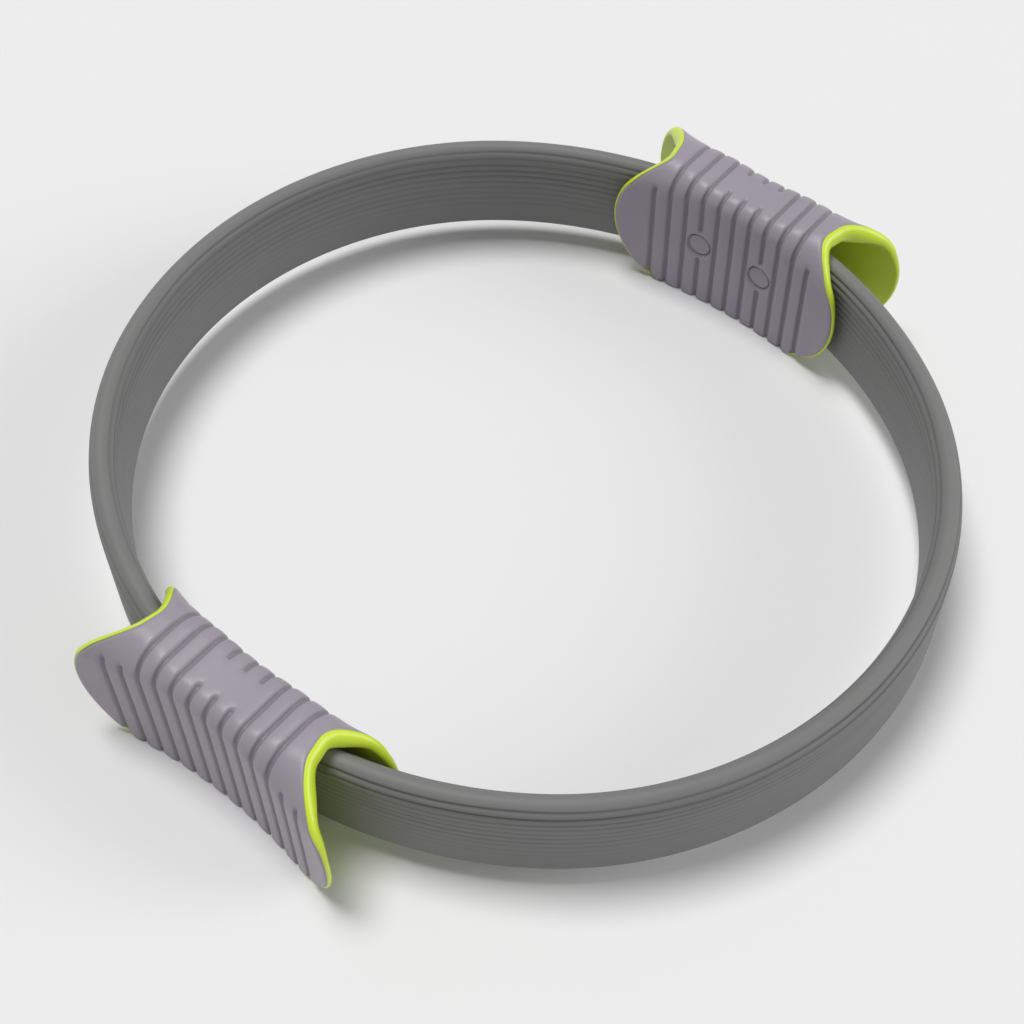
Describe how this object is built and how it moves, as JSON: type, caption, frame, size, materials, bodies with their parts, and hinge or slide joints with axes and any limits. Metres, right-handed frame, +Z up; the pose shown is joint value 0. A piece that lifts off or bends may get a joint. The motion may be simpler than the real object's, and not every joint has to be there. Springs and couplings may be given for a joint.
{
  "type": "pilates ring",
  "caption": "Squeeze ring for pilates: a sprung oval hoop in a ridged foam sleeve, with ribbed saddle grips on opposite sides that press together.",
  "frame": {"origin": "middle of the hoop, on the plane the grips stand on", "axes": "+Z up through the open hoop, +X to the fixed grip, the moving grip is at -X"},
  "size_m": [0.409, 0.394, 0.074],
  "materials": {
    "spring_steel": "blued strip",
    "foam": "matt ridged foam",
    "shell": "gloss",
    "skin": "matt soft-touch",
    "block": "moulded",
    "hardware": "zinc plated"
  },
  "bodies": {
    "fixed_grip": {"front_spring": "spring_steel", "rear_spring": "spring_steel", "front_sleeve": "foam", "rear_sleeve": "foam", "right_shell": "shell", "right_grip": "skin", "right_outer_block": "block", "right_inner_block": "block", "right_screws": "hardware", "right_washers": "hardware", "right_nuts": "hardware", "right_caps": "skin"},
    "moving_grip": {"left_shell": "shell", "left_grip": "skin", "left_outer_block": "block", "left_inner_block": "block", "left_screws": "hardware", "left_washers": "hardware", "left_nuts": "hardware", "left_caps": "skin"}
  },
  "joints": [
    {"name": "squeeze", "type": "slide", "parent": "fixed_grip", "child": "moving_grip", "axis": [1, 0, 0], "range_m": [-0.01, 0.06], "stiffness_N_per_m": 1400, "deforming": ["front_spring", "rear_spring", "front_sleeve", "rear_sleeve"]}
  ]
}
